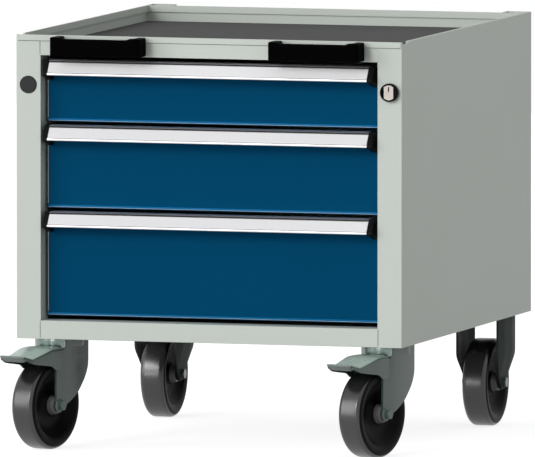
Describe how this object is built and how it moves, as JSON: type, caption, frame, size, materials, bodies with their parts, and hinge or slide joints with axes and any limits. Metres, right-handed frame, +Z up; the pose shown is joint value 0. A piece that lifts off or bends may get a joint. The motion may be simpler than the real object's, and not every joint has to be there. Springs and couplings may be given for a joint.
{
  "type": "mobile drawer cabinet",
  "caption": "Steel drawer cabinet on castors: telescopic drawers with grip rails, central lock, sunken matted top and bow handles; front castors swivel and brake.",
  "frame": {"origin": "on the floor, under the middle of the whole footprint with the brake pedals", "axes": "+X to the cabinet's right, -Y to its drawer fronts, +Z up"},
  "size_m": [0.5764, 0.7049, 0.587],
  "materials": {
    "cabinet_paint": "fine-textured light grey powder coat",
    "drawer_blue": "smooth blue powder coat",
    "drawer_grey": "light grey powder coat",
    "rail_aluminium": "satin anodised",
    "label_white": "plain white strip",
    "cap_black": "black moulded plastic",
    "handle_black": "black moulded plastic",
    "mat_rubber": "dark grey smooth rubber",
    "zinc": "zinc plated steel",
    "castor_zinc": "zinc plated pressings",
    "tyre_rubber": "dark solid rubber",
    "hub_plastic": "dark plastic wheel centre",
    "lock_nickel": "nickel plated",
    "plug_plastic": "dark grey plastic"
  },
  "bodies": {
    "cabinet": {"side_panel_left": "cabinet_paint", "side_panel_right": "cabinet_paint", "back_panel": "cabinet_paint", "base_plate": "cabinet_paint", "top_tray": "cabinet_paint", "top_mat": "mat_rubber", "top_rail": "cabinet_paint", "bottom_rail": "cabinet_paint", "runner_uprights": "zinc", "cabinet_runners": "zinc", "handles": "handle_black", "handle_screws": "zinc", "blind_plug": "plug_plastic", "lock_housing": "cap_black", "bar_guides": "zinc", "swivel_plates": "castor_zinc", "fixed_brackets": "castor_zinc", "axles_rear": "zinc", "castor_bolts": "zinc"},
    "drawer_top": {"drawer_box_top": "drawer_grey", "drawer_frame_top": "drawer_grey", "drawer_front_top": "drawer_blue", "grip_rail_top": "rail_aluminium", "label_strip_top": "label_white", "end_caps_top": "cap_black", "drawer_runners_top": "zinc"},
    "runners_top": {"middle_runners_top": "zinc"},
    "drawer_middle": {"drawer_box_middle": "drawer_grey", "drawer_frame_middle": "drawer_grey", "drawer_front_middle": "drawer_blue", "grip_rail_middle": "rail_aluminium", "label_strip_middle": "label_white", "end_caps_middle": "cap_black", "drawer_runners_middle": "zinc"},
    "runners_middle": {"middle_runners_middle": "zinc"},
    "drawer_bottom": {"drawer_box_bottom": "drawer_grey", "drawer_frame_bottom": "drawer_grey", "drawer_front_bottom": "drawer_blue", "grip_rail_bottom": "rail_aluminium", "label_strip_bottom": "label_white", "end_caps_bottom": "cap_black", "drawer_runners_bottom": "zinc"},
    "runners_bottom": {"middle_runners_bottom": "zinc"},
    "lock": {"lock_cylinder": "lock_nickel", "lock_cam": "zinc"},
    "bar": {"locking_bar": "zinc"},
    "castor_left": {"fork_front_left": "castor_zinc", "axle_front_left": "zinc"},
    "wheel_front_left": {"tyre_front_left": "tyre_rubber", "hub_front_left": "hub_plastic"},
    "wheel_rear_left": {"tyre_rear_left": "tyre_rubber", "hub_rear_left": "hub_plastic"},
    "pedal_left": {"pedal_front_left": "castor_zinc"},
    "castor_right": {"fork_front_right": "castor_zinc", "axle_front_right": "zinc"},
    "wheel_front_right": {"tyre_front_right": "tyre_rubber", "hub_front_right": "hub_plastic"},
    "wheel_rear_right": {"tyre_rear_right": "tyre_rubber", "hub_rear_right": "hub_plastic"},
    "pedal_right": {"pedal_front_right": "castor_zinc"}
  },
  "joints": [
    {"name": "drawer_top_slide", "type": "slide", "parent": "cabinet", "child": "drawer_top", "axis": [0, -1, 0], "range_m": [0, 0.52]},
    {"name": "runners_top_slide", "type": "slide", "parent": "cabinet", "child": "runners_top", "axis": [0, -1, 0], "range_m": [0, 0.26]},
    {"name": "drawer_middle_slide", "type": "slide", "parent": "cabinet", "child": "drawer_middle", "axis": [0, -1, 0], "range_m": [0, 0.52]},
    {"name": "runners_middle_slide", "type": "slide", "parent": "cabinet", "child": "runners_middle", "axis": [0, -1, 0], "range_m": [0, 0.26]},
    {"name": "drawer_bottom_slide", "type": "slide", "parent": "cabinet", "child": "drawer_bottom", "axis": [0, -1, 0], "range_m": [0, 0.52]},
    {"name": "runners_bottom_slide", "type": "slide", "parent": "cabinet", "child": "runners_bottom", "axis": [0, -1, 0], "range_m": [0, 0.26]},
    {"name": "lock_turn", "type": "hinge", "parent": "cabinet", "child": "lock", "pos_m": [0.2653, -0.296, 0.5166], "axis": [0, 1, 0], "range_deg": [0, 90]},
    {"name": "bar_lift", "type": "slide", "parent": "cabinet", "child": "bar", "axis": [0, 0, 1], "range_m": [0, 0.0141]},
    {"name": "castor_left_swivel", "type": "hinge", "parent": "cabinet", "child": "castor_left", "pos_m": [-0.24, -0.2298, 0.15], "axis": [0, 0, 1], "continuous": true},
    {"name": "wheel_front_left_roll", "type": "hinge", "parent": "castor_left", "child": "wheel_front_left", "pos_m": [-0.25022, -0.26432, 0.0625], "axis": [0.9588, -0.284, 0], "continuous": true},
    {"name": "pedal_left_press", "type": "hinge", "parent": "castor_left", "child": "pedal_left", "pos_m": [-0.25136, -0.26815, 0.134], "axis": [0.9588, -0.284, 0], "range_deg": [0, 10]},
    {"name": "wheel_rear_left_roll", "type": "hinge", "parent": "cabinet", "child": "wheel_rear_left", "pos_m": [-0.24, 0.2692, 0.0625], "axis": [1, 0, 0], "continuous": true},
    {"name": "castor_right_swivel", "type": "hinge", "parent": "cabinet", "child": "castor_right", "pos_m": [0.24, -0.2298, 0.15], "axis": [0, 0, 1], "continuous": true},
    {"name": "wheel_front_right_roll", "type": "hinge", "parent": "castor_right", "child": "wheel_front_right", "pos_m": [0.22978, -0.26432, 0.0625], "axis": [0.9588, -0.284, 0], "continuous": true},
    {"name": "pedal_right_press", "type": "hinge", "parent": "castor_right", "child": "pedal_right", "pos_m": [0.22864, -0.26815, 0.134], "axis": [0.9588, -0.284, 0], "range_deg": [0, 10]},
    {"name": "wheel_rear_right_roll", "type": "hinge", "parent": "cabinet", "child": "wheel_rear_right", "pos_m": [0.24, 0.2692, 0.0625], "axis": [1, 0, 0], "continuous": true}
  ],
  "couplings": [
    {"joint": "runners_top_slide", "follows": "drawer_top_slide", "ratio": 0.5},
    {"joint": "runners_middle_slide", "follows": "drawer_middle_slide", "ratio": 0.5},
    {"joint": "runners_bottom_slide", "follows": "drawer_bottom_slide", "ratio": 0.5},
    {"joint": "lock_turn", "follows": "bar_lift", "rad_per_m": 111.07}
  ]
}
